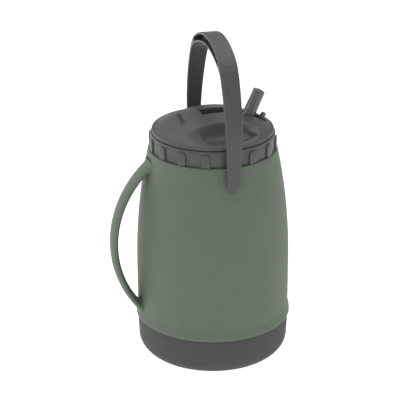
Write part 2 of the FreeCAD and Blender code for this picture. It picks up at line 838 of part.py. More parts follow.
def round_dome_edges():
    """Rounds the bridge's crease and the scoops' edges on the finished dome."""
    dome = PARTS[-1]
    solid = dome.Shape
    picked = []
    for i, edge in enumerate(solid.Edges, 1):
        middle = edge.valueAt((edge.FirstParameter + edge.LastParameter) / 2)
        on_bridge = abs(abs(middle.y) - d.bridge_half.value) < 0.3
        above = middle.z > d.facet_height.value + 0.5
        if on_bridge and above and edge.Length > 30:
            picked.append(i)
    fillet = doc.addObject("Part::Fillet", "dome_rounded")
    fillet.Base = dome
    fillet.Edges = [(i, 1.2, 1.2) for i in picked]
    PARTS.remove(dome)
    dome.Label = "dome_sharp"
    keep(fillet, "lid_dome")


def make_foam_inserts():
    gap = 0.3
    blocks = []
    for low, high, tag in (
        (-(d.foam_outer - gap), -(d.foam_inner + gap), "front"),
        (d.foam_inner + gap, d.foam_outer - gap, "rear"),
    ):
        blocks.append(box("foam_block_" + tag, (-(d.foam_half - gap), low, d.dome_low + gap),
                          (d.foam_half - gap, high, d.foam_top - gap)))
    group = doc.addObject("Part::Compound", "foam_blocks")
    group.Links = blocks
    keep(group, "lid_foam_blocks")


def make_plug():
    """The cup that hangs in the jug's mouth under the dome, with its straw port and vent pipe."""
    w = d.plug_wall
    cup = turned("lid_plug_cup", [
        (0, d.plug_bottom),
        (d.plug_radius - 2, d.plug_bottom),
        (d.plug_radius, d.plug_bottom + 2),
        (d.plug_radius, d.flange_low),
        (d.flange_radius, d.flange_low),
        (d.flange_radius, d.flange_high),
        (d.plug_neck, d.flange_high),
        (d.plug_neck, d.dome_low),
        (d.plug_radius - w, d.dome_low),
        (d.plug_radius - w, d.plug_bottom + w),
        (0, d.plug_bottom + w),
    ])
    port = cylinder("port_tube", d.port_radius, d.port_top - d.plug_bottom,
                    (d.hinge_x, 0, d.plug_bottom))
    nipple = cylinder("straw_nipple", d.nipple_radius, d.plug_bottom - d.nipple_low + 1,
                      (d.hinge_x, 0, d.nipple_low))
    pipe = cylinder("vent_pipe", d.vent_pipe, d.slot_floor - d.trough_wall - d.plug_bottom,
                    (d.vent_x, 0, d.plug_bottom))
    bore = cylinder("port_bore", d.port_bore, 40, (d.hinge_x, 0, d.nipple_low - 5))
    air = cylinder("vent_bore", d.vent_bore, 40, (d.vent_x, 0, d.plug_bottom - 5))
    solid = join("lid_plug_solid", cup, port, nipple, pipe)
    keep(cut("lid_plug_bored", solid, join("plug_bores", bore, air)), "lid_plug")


def make_lid_inner():
    keep(turned("lid_gasket_body", [
        (d.mouth_radius + 0.4, d.gasket_low),
        (d.flange_radius - 0.4, d.gasket_low),
        (d.flange_radius - 0.4, d.flange_low),
        (d.mouth_radius + 0.4, d.flange_low),
    ]), "lid_gasket")
    w = d.plug_wall
    disc = cylinder("foam_disc", d.plug_radius - w - 0.3, d.foam_disc_top - d.plug_bottom - w - 0.3,
                    (0, 0, d.plug_bottom + w + 0.3))
    holes = join("foam_holes",
                 cylinder("foam_port_hole", d.seal_radius + 0.4, 40,
                          (d.hinge_x, 0, d.plug_bottom)),
                 cylinder("foam_vent_hole", d.vent_pipe + 0.3, 40,
                          (d.vent_x, 0, d.plug_bottom)))
    keep(cut("foam_disc_made", disc, holes), "lid_foam_disc")
    sleeve = cylinder("seal_sleeve", d.seal_radius, d.slot_floor + d.seal_stand - d.port_top,
                      (d.hinge_x, 0, d.port_top))
    seat = join("seal_cuts",
                cylinder("seal_bore", d.port_bore, 40, (d.hinge_x, 0, d.port_top - 5)),
                cylinder("seal_saddle", d.hub_radius + d.running_gap * 2, 40,
                         (d.hinge_x, -20, d.hinge_height), "Y"))
    keep(cut("spout_seal_made", sleeve, seat), "spout_seat_seal")
    valve = turned("vent_valve_body", [
        (0.6, d.plug_bottom - 9),
        (1.4, d.plug_bottom - 9),
        (3.2, d.plug_bottom - 2.4),
        (4.6, d.plug_bottom - 2.0),
        (4.6, d.plug_bottom),
        (d.vent_bore, d.plug_bottom),
        (d.vent_bore, d.plug_bottom + 4),
        (0.6, d.plug_bottom + 4),
    ])
    valve.setExpression("Placement.Base.x", d.vent_x.text)
    keep(valve, "vent_valve")


def make_spout():
    """The drinking spout, modelled upright about its hinge and then tilted into place."""
    body = new_body("spout_body")
    hub = new_sketch(body, "hub_side", "XZ_Plane")
    draw_circle(hub, 0, 0, d.hub_radius)
    pad(body, hub, d.hub_half * 2, both_ways=True)
    root = draw_circle(new_sketch(body, "spout_root_plan", "XY_Plane"), 0, 0, d.spout_root)
    tip = draw_circle(new_sketch(body, "spout_tip_plan", "XY_Plane", d.spout_length),
                      0, 0, d.spout_tip)
    tube = body.newObject("PartDesign::AdditiveLoft", "spout_tube")
    tube.Profile = root
    tube.Sections = [tip]
    half = d.tab_bar / 2
    arm = new_sketch(body, "tab_arm", "XZ_Plane")
    x, up = d.tab_reach_x, d.tab_reach_up
    draw(arm, [
        (2, 0),
        (x + half, up - half),
        (x + half, up + 1),
        (x - half, up + 1),
        (x - half - 1, up),
        (0, 2),
    ])
    pad(body, arm, d.tab_bar, both_ways=True)
    peg = draw_circle(new_sketch(body, "tab_peg", "XY_Plane", up), x, 0, d.tab_radius)
    pad(body, peg, d.tab_length)
    drink = draw_circle(new_sketch(body, "drink_bore", "XY_Plane"), 0, 0, d.spout_bore)
    pocket(body, drink, d.spout_length + 2, reverse=True)
    hinge = draw_circle(new_sketch(body, "hinge_bore", "XZ_Plane"), 0, 0,
                        d.pin_radius + d.running_gap)
    pocket(body, hinge, d.hub_half * 2 + 2, both_ways=True)
    inlet = cylinder("inlet_bore", d.spout_bore - 0.4, d.hub_radius + 2, (0, 0, 0))
    inlet.Placement.Rotation = FreeCAD.Rotation(FreeCAD.Vector(0, 1, 0),
                                                180.0 - d.spout_tilt.value)
    made = cut("spout_bored", body, inlet)
    made.Placement.Rotation = FreeCAD.Rotation(FreeCAD.Vector(0, 1, 0), d.spout_tilt.value)
    made.setExpression("Placement.Rotation.Angle", d.spout_tilt.text)
    made.setExpression("Placement.Base.x", d.hinge_x.text)
    made.setExpression("Placement.Base.z", d.hinge_height.text)
    keep(made, "spout")


def make_straw_and_pin():
    pin = cylinder("pin_rod", d.pin_radius, d.pin_half * 2 - 0.2,
                   (d.hinge_x, -(d.pin_half - 0.1), d.hinge_height), "Y")
    keep(pin, "spout_hinge_pin")
    top = d.plug_bottom - 0.5
    tube = cylinder("straw_rod", d.straw_radius, top - d.straw_low, (d.hinge_x, 0, d.straw_low))
    hole = cylinder("straw_hole", d.nipple_radius, 230, (d.hinge_x, 0, d.straw_low - 5))
    keep(cut("straw_made", tube, hole), "dip_straw")


# ---------------------------------------------------------------- build and write

make_outer_shell()
make_liner()
make_base_plate()
make_boot()
make_side_handle()
make_bail()
make_pivot("front", "-Y", -1)
make_pivot("rear", "Y", 1)
make_screw_ring()
make_dome()
round_dome_edges()
make_foam_inserts()
make_plug()
make_lid_inner()
make_spout()
make_straw_and_pin()
doc.recompute()

for obj in doc.Objects:
    if "Invalid" in obj.State or "Error" in obj.State:
        raise RuntimeError("%s failed: %s" % (obj.Name, obj.State))

os.makedirs("parts", exist_ok=True)
for old in os.listdir("parts"):
    os.remove(os.path.join("parts", old))
for obj in PARTS:
    shape = obj.Shape
    if shape.isNull() or not shape.isValid() or not shape.Solids:
        raise RuntimeError("%s has no valid solid" % obj.Label)
    shape.exportStep("parts/%s.step" % obj.Label)
    print("%-20s %2d solid(s) %10.1f mm3" % (obj.Label, len(shape.Solids), shape.Volume))
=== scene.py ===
# %% [markdown]
# # An insulated jug with a flip-up spout
# The jug is a double-walled steel vessel in a rubber boot. A plastic ring screws the lid onto its
# neck, a moulded bail swings over the lid, and a spout flips up out of a slot in the dome. The
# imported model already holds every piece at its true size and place, so this lesson only gives the
# pieces that show their final form and finish, and lets each of them ride on its body.

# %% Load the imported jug
import bmesh
import bpy
import json
import math
from mathutils import Matrix, Vector


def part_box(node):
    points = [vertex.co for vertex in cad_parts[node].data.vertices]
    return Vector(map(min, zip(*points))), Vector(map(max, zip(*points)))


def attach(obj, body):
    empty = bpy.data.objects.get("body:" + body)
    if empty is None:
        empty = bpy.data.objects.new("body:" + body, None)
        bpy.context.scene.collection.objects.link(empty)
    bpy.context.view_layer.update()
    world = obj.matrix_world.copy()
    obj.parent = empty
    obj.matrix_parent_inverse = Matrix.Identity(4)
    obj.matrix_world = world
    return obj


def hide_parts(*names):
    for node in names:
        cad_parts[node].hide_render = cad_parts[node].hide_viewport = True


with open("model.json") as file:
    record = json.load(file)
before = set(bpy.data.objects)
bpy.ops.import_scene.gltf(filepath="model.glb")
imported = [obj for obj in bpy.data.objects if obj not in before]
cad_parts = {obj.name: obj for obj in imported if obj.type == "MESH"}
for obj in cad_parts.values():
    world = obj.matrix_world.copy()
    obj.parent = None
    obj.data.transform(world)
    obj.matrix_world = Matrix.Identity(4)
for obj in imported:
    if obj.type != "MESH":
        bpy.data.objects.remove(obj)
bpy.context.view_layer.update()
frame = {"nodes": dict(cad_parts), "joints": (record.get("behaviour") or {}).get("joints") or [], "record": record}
hinges = {joint["name"]: joint for joint in frame["joints"]}
MM = 0.001

# %% [markdown]
# A product is usually shown with a long lens from a little above, which keeps its sides almost
# parallel. The camera is placed on a ball around a point half way up the jug. The view is shifted
# sideways, as with a shift lens, so that the side handle and the body share the frame.

# %% Place the camera
AZIMUTH = math.radians(-16.0)
ELEVATION = math.radians(22.76)
DISTANCE = 1.7009
AIM = Vector((0.0, 0.0, 0.1704))

camera_data = bpy.data.cameras.new("camera")
camera_data.lens = 143.0
camera_data.sensor_width = 36.0
camera_data.shift_x = -0.0319
camera = bpy.data.objects.new("camera", camera_data)
bpy.context.collection.objects.link(camera)
towards = Vector((math.sin(AZIMUTH) * math.cos(ELEVATION),
                  -math.cos(AZIMUTH) * math.cos(ELEVATION),
                  math.sin(ELEVATION)))
camera.location = AIM + towards * DISTANCE
camera.rotation_euler = towards.to_track_quat("Z", "Y").to_euler()
bpy.context.scene.camera = camera
print("camera at", [round(value, 3) for value in camera.location])

# %% [markdown]
# Shader maths reads best as plain sums. This small class wraps a socket, and each sum adds the
# Math node that works it out. Everything else comes from `node`, which takes the node's type, its
# settings and the values or links of its sockets.


# %% Write shader maths as expressions
class Signal:
    """A number that varies over a surface, as a socket that can be used in sums."""

    def __init__(self, finish, socket):
        self.finish = finish
        self.socket = socket

    def sum_with(self, operation, first, second):
        return self.finish.node("ShaderNodeMath", {"operation": operation}, {0: first, 1: second})

    def __add__(self, other):
        return self.sum_with("ADD", self, other)

    def __radd__(self, other):
        return self.sum_with("ADD", other, self)

    def __mul__(self, other):
        return self.sum_with("MULTIPLY", self, other)

    def __rmul__(self, other):
        return self.sum_with("MULTIPLY", other, self)


class Finish:
    """A material that is being written."""

    def __init__(self, name):
        self.material = bpy.data.materials.new(name)
        self.material.use_nodes = True
        self.tree = self.material.node_tree
        self.tree.nodes.clear()

    def node(self, kind, settings=None, sockets=None, output=0):
        made = self.tree.nodes.new(kind)
        for key, value in (settings or {}).items():
            setattr(made, key, value)
        for key, value in (sockets or {}).items():
            if isinstance(value, Signal):
                self.tree.links.new(value.socket, made.inputs[key])
            else:
                made.inputs[key].default_value = value
        return Signal(self, made.outputs[output]) if made.outputs else made

    def place(self):
        """The point on the piece, in metres."""
        return self.node("ShaderNodeTexCoord", output="Object")

    def stretched(self, scale):
        """The point on the piece, stretched along the axes."""
        return self.node("ShaderNodeMapping", {}, {"Vector": self.place(), "Scale": scale})

    def noise(self, scale, detail=2.0, place=None):
        """Cloudy noise from 0 to 1. The scale is in clouds a metre."""
        return self.node("ShaderNodeTexNoise", {"noise_dimensions": "3D"},
                         {"Vector": place or self.place(), "Scale": scale, "Detail": detail,
                          "Roughness": 0.55}, output=0)

    def cells(self, scale):
        """Distance to the middle of the nearest random cell."""
        return self.node("ShaderNodeTexVoronoi", {"feature": "F1"},
                         {"Vector": self.place(), "Scale": scale}, output=0)

    def blend(self, amount, first, second):
        """One colour changing to another as the amount goes from 0 to 1."""
        mixer = self.tree.nodes.new("ShaderNodeMix")
        mixer.data_type = "RGBA"
        self.tree.links.new(amount.socket, mixer.inputs[0])
        for socket, colour in ((mixer.inputs[6], first), (mixer.inputs[7], second)):
            if isinstance(colour, Signal):
                self.tree.links.new(colour.socket, socket)
            else:
                socket.default_value = (*colour, 1.0)
        return Signal(self, mixer.outputs[2])

    def bump(self, height, depth):
        """A surface that rises by the height, which is from 0 to 1, times a depth in metres."""
        return self.node("ShaderNodeBump", {}, {"Height": height, "Distance": depth,
                                                "Strength": 1.0})

    def done(self, **sockets):
        """Puts the shader on the surface. A socket's spaces are written as underscores."""
        values = {key.replace("_", " "): value for key, value in sockets.items()}
        colour = values.get("Base Color")
        if isinstance(colour, tuple):
            values["Base Color"] = (*colour, 1.0)
        shader = self.node("ShaderNodeBsdfPrincipled", {}, values)
        self.node("ShaderNodeOutputMaterial", {}, {"Surface": shader})
        return self.material


# %% [markdown]
# A powder coat is sprayed on as dry plastic dust and baked, so it is matt, evenly coloured and
# slightly pebbled, like fine orange peel. Small cells and a noise make the pebbles. Three sizes of
# cloudy noise mottle the green.


# %% Powder coat
def powder_coat():
    finish = Finish("sage_powder_coat")
    grain = finish.cells(1500)
    peel = finish.noise(420, 3.0)
    drift = finish.noise(38, 2.0)
    mottle = finish.noise(330, 2.0)
    speck = finish.noise(900, 1.0)
    cloud = drift * 0.3 + mottle * 0.45 + speck * 0.25
    colour = finish.blend(cloud, (0.086, 0.113, 0.081), (0.126, 0.158, 0.115))
    return finish.done(
        Base_Color=colour,
        Roughness=0.56 + 0.1 * speck,
        Normal=finish.bump(grain * 0.6 + peel * 0.7, 0.00016),
        Specular_IOR_Level=0.45,
    )


# %% [markdown]
# The lid, ring and bail are moulded in dark grey polypropylene. The mould is spark-eroded, which
# leaves a very fine, even grain that scatters the light. Handling polishes it unevenly, so the
# roughness drifts a little.


# %% Moulded plastics
def moulded(name, colour, rough, grain_depth, gloss=0.5):
    finish = Finish(name)
    grain = finish.noise(2600, 2.0)
    drift = finish.noise(55, 3.0)
    lighter = tuple(channel * 1.12 for channel in colour)
    return finish.done(
        Base_Color=finish.blend(drift, colour, lighter),
        Roughness=rough - 0.05 + 0.1 * drift + 0.04 * grain,
        Normal=finish.bump(grain, grain_depth),
        Specular_IOR_Level=gloss,
    )


# %% [markdown]
# The boot is soft rubber. It is duller than the plastic, with a dusty bloom in places. Silicone
# seals are smoother and let a little light in.


# %% Rubber and silicone
def rubber(name, colour, rough):
    finish = Finish(name)
    bloom = finish.noise(70, 4.0)
    grain = finish.noise(1700, 2.0)
    dusty = tuple(channel * 1.22 + 0.004 for channel in colour)
    return finish.done(
        Base_Color=finish.blend(bloom, colour, dusty),
        Roughness=rough + 0.08 * bloom,
        Normal=finish.bump(grain, 0.00006),
        Specular_IOR_Level=0.35,
    )


# %% [markdown]
# Stainless steel is spun and brushed round the axis. A noise that is stretched flat, so that it
# changes fast with height and slowly around, gives the fine brush lines.


# %% Brushed steel
def steel(name, rough):
    finish = Finish(name)
    lines = finish.noise(1.0, 3.0, finish.stretched((60, 60, 5200)))
    return finish.done(
        Base_Color=finish.blend(lines, (0.50, 0.50, 0.49), (0.63, 0.63, 0.62)),
        Roughness=rough + 0.12 * lines,
        Metallic=1.0,
        Normal=finish.bump(lines, 0.00003),
    )


# %% Closed-cell foam
def foam():
    finish = Finish("white_foam")
    beads = finish.cells(420)
    return finish.done(
        Base_Color=finish.blend(beads, (0.70, 0.69, 0.66), (0.80, 0.79, 0.76)),
        Roughness=0.85 + 0.1 * beads,
        Normal=finish.bump(beads, 0.0004),
    )


# %% Make one of each finish
FINISHES = {
    "shell_paint": powder_coat(),
    "lid_plastic": moulded("lid_grey", (0.057, 0.057, 0.058), 0.40, 0.00005),
    "bail_plastic": moulded("bail_grey", (0.058, 0.058, 0.059), 0.42, 0.00004),
    "plug_plastic": moulded("plug_grey", (0.06, 0.06, 0.061), 0.36, 0.00003),
    "spout_plastic": moulded("spout_grey", (0.085, 0.085, 0.086), 0.22, 0.00001, 0.6),
    "bush_plastic": moulded("bush_grey", (0.42, 0.42, 0.40), 0.38, 0.00002),
    "straw_plastic": moulded("straw_grey", (0.5, 0.5, 0.5), 0.3, 0.00002),
    "boot_rubber": rubber("boot_rubber", (0.056, 0.056, 0.057), 0.68),
    "seal_rubber": rubber("seal_silicone", (0.22, 0.22, 0.22), 0.42),
    "liner_steel": steel("liner_steel", 0.26),
    "pin_steel": steel("pin_steel", 0.2),
    "getter_metal": steel("getter_metal", 0.55),
    "foam": foam(),
}
for entry in frame["record"]["subparts"]:
    packed = frame["nodes"][entry["node"]]
    packed.data.materials.clear()
    packed.data.materials.append(FINISHES[entry["material_slot"]])
print("finishes:", len(FINISHES))

# %% [markdown]
# Every new piece goes through the same last steps. Its normals are made to point outwards, its
# gentle bends are shaded smooth while its true corners stay crisp, and it is tied to its body.


# %% Turn a bmesh into a piece
def make_piece(name, bm, body, slot, stands_for=(), crisp=40.0):
    bmesh.ops.recalc_face_normals(bm, faces=bm.faces[:])
    mesh = bpy.data.meshes.new(name)
    bm.to_mesh(mesh)
    bm.free()
    mesh.shade_smooth()
    mesh.set_sharp_from_angle(angle=math.radians(crisp))
    mesh.materials.append(FINISHES[slot])
    piece = bpy.data.objects.new(name, mesh)
    bpy.context.collection.objects.link(piece)
    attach(piece, body)
    if stands_for:
        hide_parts(*stands_for)
    print(name, len(mesh.polygons), "faces")
    return piece


def move(bm, place):
    """Moves each vertex to where place(x, y, z) says."""
    for vert in bm.verts:
        vert.co = Vector(place(*vert.co))


# %% [markdown]
# Anything round about the axis is spun, as it would be on a lathe. An outline is a closed loop of
# corners in the XZ plane. A corner with a third number is rounded by that radius with a vertex
# bevel, before the loop is spun through a full turn.


# %% Spin an outline
def loop_of(corners):
    bm = bmesh.new()
    verts = [bm.verts.new((corner[0], 0.0, corner[1])) for corner in corners]
    for first, second in zip(verts, verts[1:] + verts[:1]):
        bm.edges.new((first, second))
    for vert, corner in zip(verts, corners):
        if len(corner) > 2:
            steps = max(4, round(corner[2] / MM))
            bmesh.ops.bevel(bm, geom=[vert], offset=corner[2], offset_type="OFFSET",
                            segments=steps, profile=0.5, affect="VERTICES", material=-1)
    return bm


def spun(corners, steps=224):
    bm = loop_of(corners)
    bmesh.ops.spin(bm, geom=bm.verts[:] + bm.edges[:], cent=(0, 0, 0), axis=(0, 0, 1),
                   angle=math.tau, steps=steps, use_merge=True)
    bmesh.ops.remove_doubles(bm, verts=bm.verts[:], dist=MM * 0.002)
    return bm


def add_to(bm, other):
    """Puts a second bmesh into the first, as a separate closed skin."""
    spare = bpy.data.meshes.new("spare")
    other.to_mesh(spare)
    other.free()
    bm.from_mesh(spare)
    bpy.data.meshes.remove(spare)


# %% [markdown]
# The outer shell is one spun wall. From the neck a flat shoulder runs out to the barrel, which
# swells on a long arc and ends in a small rolled bead over the boot. The wall's inner face follows
# the outer one, so that the shell stays thin where the lid lifts and shows its rim.

# %% Measure the shell
shell_low, shell_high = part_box("outer_shell")
WALL = 0.6 * MM
FOOT = 79 * MM
FOOT_CORNER = 12.6 * MM
FOOT_OPENING = 60 * MM
BEAD_CREST = 46.8 * MM
BEAD_TOP = 53 * MM
rim_height = shell_high[2]
bead_radius = shell_high[0]
barrel_radius = bead_radius - 1.8 * MM
BARREL_ARC = 610 * MM
ARC_START = 104 * MM
shoulder_height = rim_height - 10.6 * MM
neck_radius = 61 * MM
bead_low = 42.2 * MM
print("barrel radius", round(barrel_radius, 4), "shoulder at", round(shoulder_height, 4))


def barrel_at(height):
    """The barrel's outer radius at a height."""
    rise = max(0.0, height - ARC_START)
    return barrel_radius - BARREL_ARC + math.sqrt(BARREL_ARC ** 2 - rise ** 2)


# %% Spin the shell
def barrel_points(inset, top, count=22):
    heights = [ARC_START + (top - ARC_START) * step / count for step in range(count + 1)]
    return [(barrel_at(height) - inset, height) for height in heights]


def shell():
    low = shell_low[2]
    outside = [
        (neck_radius, rim_height),
        (neck_radius, shoulder_height, 0.8 * MM),
        (barrel_at(shoulder_height), shoulder_height, 0.5 * MM),
        *reversed(barrel_points(0, shoulder_height)[:-1]),
        (barrel_radius, BEAD_TOP, 3 * MM),
        (bead_radius, BEAD_CREST, 2.4 * MM),
        (bead_radius, bead_low, 1.5 * MM),
        (FOOT, bead_low),
        (FOOT, low, FOOT_CORNER),
        (FOOT_OPENING, low),
    ]
    inside = [
        (FOOT_OPENING, low + WALL),
        (FOOT - WALL, low + WALL, 12 * MM),
        (FOOT - WALL, bead_low + WALL),
        (bead_radius - 2 * WALL, bead_low + WALL),
        (bead_radius - 2 * WALL, BEAD_CREST - 0.4 * MM),
        (barrel_radius - WALL, BEAD_TOP),
        *barrel_points(WALL, shoulder_height - WALL),
        (neck_radius - WALL, shoulder_height - WALL),
        (neck_radius - WALL, rim_height),
    ]
    return spun(outside + inside)


# %% [markdown]
# The neck's screw thread is a ridge that climbs nine tenths of a turn. A short trapezium is spun
# with `dvec`, which lifts it a little at each step, so that the spin becomes a helix. Its two ends
# are squeezed down to the neck, as on a rolled thread.

# %% Wind a thread
PITCH = 5.0 * MM


def thread(root, crest, start, turns, phase):
    steps = 96
    half = 0.9 * MM
    bury = 0.3 * MM if crest > root else -0.3 * MM
    fading_share = 0.05
    bm = bmesh.new()
    section = [(root - bury, -half), (crest, -half / 2), (crest, half / 2), (root - bury, half)]
    verts = [bm.verts.new((radius, 0, start + height)) for radius, height in section]
    bmesh.ops.contextual_create(bm, geom=verts)
    bmesh.ops.spin(bm, geom=bm.verts[:] + bm.edges[:] + bm.faces[:], cent=(0, 0, 0),
                   axis=(0, 0, 1), dvec=(0, 0, PITCH * turns / steps), angle=math.tau * turns,
                   steps=steps)
    reach = abs(crest - root)

    def squeeze(x, y, z):
        radius = math.hypot(x, y)
        climbed = (z - start) / (PITCH * turns)
        fade = min(1.0, climbed / fading_share, (1.0 - climbed) / fading_share)
        fade = max(0.0, min(1.0, fade))
        height = abs(radius - root) if (radius - root) * (crest - root) > 0 else 0.0
        kept = radius if height == 0.0 else root + (crest - root) * height / reach * fade
        return x * kept / radius, y * kept / radius, z

    move(bm, squeeze)
    bmesh.ops.rotate(bm, verts=bm.verts[:], cent=(0, 0, 0),
                     matrix=Matrix.Rotation(math.radians(phase), 3, "Z"))
    return bm


shell_skin = shell()
add_to(shell_skin, thread(neck_radius, 62.5 * MM, 235.5 * MM, 0.9, 0.0))
make_piece("vessel_shell", shell_skin, "jug", "shell_paint", ["outer_shell"], crisp=35.0)

# %% [markdown]
# The side handle is an oval bar, bent to an arc and welded to the barrel at both ends. An ellipse
# is spun about the centre of the bend. Near the barrel the weld is dressed to a smooth fillet: each
# point is pushed out from the middle of the bar by what a fillet of the same radius would add at
# its distance from the barrel.

# %% Bend the side handle
handle_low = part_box("side_handle")[0]
BEND = 117.0 * MM
BAR_THICK = 7.8 * MM
BAR_WIDE = 22.0 * MM
FILLET = 3.5 * MM
BAR_START = math.radians(-43.5)
BAR_END = math.radians(50.0)
bend_middle = Vector((handle_low[0] + BAR_THICK / 2 + BEND, 0.0, 131.0 * MM))
print("bend centre", [round(value, 4) for value in bend_middle])


def side_handle():
    bm = bmesh.new()
    bmesh.ops.create_circle(bm, segments=40, radius=1.0)

    def first_oval(x, y, z):
        across = x * BAR_THICK / 2
        return (bend_middle.x - BEND * math.cos(BAR_START) + across * math.cos(BAR_START),
                y * BAR_WIDE / 2,
                bend_middle.z + BEND * math.sin(BAR_START) - across * math.sin(BAR_START))

    move(bm, first_oval)
    bmesh.ops.spin(bm, geom=bm.verts[:] + bm.edges[:], cent=bend_middle, axis=(0, 1, 0),
                   angle=BAR_END - BAR_START, steps=120)

    def weld(x, y, z):
        here = Vector((x, 0.0, z))
        spoke = (here - bend_middle).normalized()
        middle = bend_middle + spoke * BEND
        gap = math.hypot(x, y) - barrel_at(z)
        near = max(0.0, min(FILLET, FILLET - gap))
        grown = FILLET - math.sqrt(FILLET ** 2 - near ** 2)
        outward = Vector((x, y, z)) - middle
        return Vector((x, y, z)) + outward.normalized() * grown

    move(bm, weld)
    bmesh.ops.holes_fill(bm, edges=[edge for edge in bm.edges if edge.is_boundary])
    return bm


make_piece("side_grip", side_handle(), "jug", "shell_paint", ["side_handle"], crisp=50.0)

# %% [markdown]
# The boot is a rubber cup that is pulled over the vessel's foot. Its lower edge is a big soft
# radius, and its underside has a raised pad and a ring to stand on, with a shallow recess between.

# %% Spin the boot
boot_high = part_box("base_boot")[1]
boot_radius = boot_high[0]
boot_top = boot_high[2]
BOOT_TAPER = 1.9 * MM
BOOT_CORNER = 16.5 * MM
CENTRE_PAD = 24 * MM
RECESS_RADIUS = 44 * MM
RECESS = 1.6 * MM


def boot():
    inner = shell_low[2]
    return spun([
        (0, 0),
        (CENTRE_PAD, 0, 0.6 * MM),
        (CENTRE_PAD + RECESS, RECESS),
        (RECESS_RADIUS, RECESS),
        (RECESS_RADIUS + RECESS, 0, 0.6 * MM),
        (boot_radius - BOOT_TAPER, 0, BOOT_CORNER),
        (boot_radius, boot_top, 0.7 * MM),
        (FOOT, boot_top),
        (FOOT, inner, FOOT_CORNER),
        (0, inner),
    ])


make_piece("rubber_boot", boot(), "jug", "boot_rubber", ["base_boot"], crisp=35.0)

# %% [markdown]
# The screw ring is a spun collar with sixteen grip pads. One pad is a block with its two upper
# corners rounded and its edges eased. It is bent to the collar's radius, and a spin with
# `use_duplicate` sets the other fifteen round the collar.

# %% Make the screw ring
ring_low, ring_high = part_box("lid_screw_ring")
pad_face = ring_high[1]
collar_radius = pad_face - 1.8 * MM
bore = collar_radius - 2.6 * MM
lip = collar_radius - 5.6 * MM
LIP_THICK = 2.3 * MM
PADS = 16
PAD_WIDE = 9.8 * MM


def collar():
    return spun([
        (bore, ring_low[2], 0.3 * MM),
        (collar_radius, ring_low[2], 0.2 * MM),
        (collar_radius, ring_high[2], 1.5 * MM),
        (lip, ring_high[2], 0.5 * MM),
        (lip, ring_high[2] - LIP_THICK),
        (bore, ring_high[2] - LIP_THICK),
    ])


def upright_corners(bm, top):
    """The edges that run straight out of the collar at a block's two upper corners."""
    found = []
    for edge in bm.edges:
        first, second = edge.verts
        if abs(first.co.z - top) < 1e-6 and abs(second.co.z - top) < 1e-6:
            if abs(first.co.y - second.co.y) > 1 * MM:
                found.append(edge)
    return found


def grip_pads():
    low, top = ring_low[2] + 0.05 * MM, ring_high[2] - 3.2 * MM
    inner = collar_radius - 0.6 * MM
    bm = bmesh.new()
    bmesh.ops.create_cube(bm, size=1.0)
    bmesh.ops.scale(bm, vec=(PAD_WIDE, pad_face - inner, top - low), verts=bm.verts[:])
    bmesh.ops.translate(bm, vec=(0, (inner + pad_face) / 2, (low + top) / 2), verts=bm.verts[:])
    bmesh.ops.bevel(bm, geom=upright_corners(bm, top), offset=3.5 * MM, offset_type="OFFSET",
                    segments=5, profile=0.5, affect="EDGES", material=-1)
    rims = [edge for edge in bm.edges
            if min(vert.co.y for vert in edge.verts) > pad_face - 0.1 * MM]
    bmesh.ops.bevel(bm, geom=rims, offset=0.45 * MM, offset_type="OFFSET", segments=3,
                    profile=0.5, affect="EDGES", material=-1)
    for place in (-3.0, -1.5, 0.0, 1.5, 3.0):
        bmesh.ops.bisect_plane(bm, geom=bm.verts[:] + bm.edges[:] + bm.faces[:],
                               plane_co=(place * MM, 0, 0), plane_no=(1, 0, 0), dist=1e-7)
    move(bm, lambda x, y, z: (y * math.sin(x / pad_face), -y * math.cos(x / pad_face), z))
    bmesh.ops.spin(bm, geom=bm.verts[:] + bm.edges[:] + bm.faces[:], cent=(0, 0, 0),
                   axis=(0, 0, 1), angle=math.tau * (PADS - 1) / PADS, steps=PADS - 1,
                   use_duplicate=True)
    return bm


ring_skin = collar()
add_to(ring_skin, thread(bore, bore - 1.6 * MM, 233.85 * MM, 0.83, 60.0))
add_to(ring_skin, grip_pads())
make_piece("grip_ring", ring_skin, "screw_ring", "lid_plastic", ["lid_screw_ring"], crisp=35.0)

# %% [markdown]
# The dome has soft creases that a lathe can't make: two facets beside a central bridge, a finger
# scoop in each facet, and the slot for the folded spout. It is a grid whose height comes from one
# formula. Lengths in the formula are in millimetres, which keeps it readable. Soft minimums round
# the creases, and a distance to each feature's edge shapes its walls.

# %% Shape the dome's surface
dome_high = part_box("lid_dome")[1]
hinge = Vector(hinges["spout_flip"]["pos_m"])
APEX = dome_high[2] / MM
EDGE_RADIUS = dome_high[0] / MM - 1.5
EDGE_HEIGHT = APEX - 19.5
BALL = (EDGE_RADIUS ** 2 + (APEX - EDGE_HEIGHT) ** 2) / (2 * (APEX - EDGE_HEIGHT))
BRIDGE = 29.6
FACET = 260.8
FACET_SLOPE = 0.246
SLOT_HALF = 8.2
SLOT_START = -13.5
SLOT_STEP = 48.0
SLOT_END = 57.0
SLOT_FLOOR = 241.5
SLOT_LEDGE = 252.3
SLOT_EASE = 0.9
SCOOP_FLOOR = 252.6
SCOOP_REACH = 56.8
SCOOP_STEEP_END = -23.4
TAIL_START = 22.0
TAIL_RUN = (15.0, 18.0)


def soft_min(first, second, width):
    """The lower of two numbers, with the crease between them rounded over the width."""
    near = max(0.0, width - abs(first - second)) / width
    return min(first, second) - near * near * width / 4


def ease(value):
    """Goes from 0 to 1 with a soft start and a soft stop."""
    held = max(0.0, min(1.0, value))
    return held * held * (3 - 2 * held)


def scoop_depth(x, y):
    """How far inside the finger scoop's outline a point lies. The point is on the front side."""
    round_rim = SCOOP_REACH - math.hypot(x, y)
    steep_end = x - SCOOP_STEEP_END
    tail = -((x - TAIL_START) * TAIL_RUN[0] + (y + BRIDGE) * TAIL_RUN[1]) / math.hypot(*TAIL_RUN)
    return soft_min(soft_min(round_rim, steep_end, 9.0), tail, 3.0)


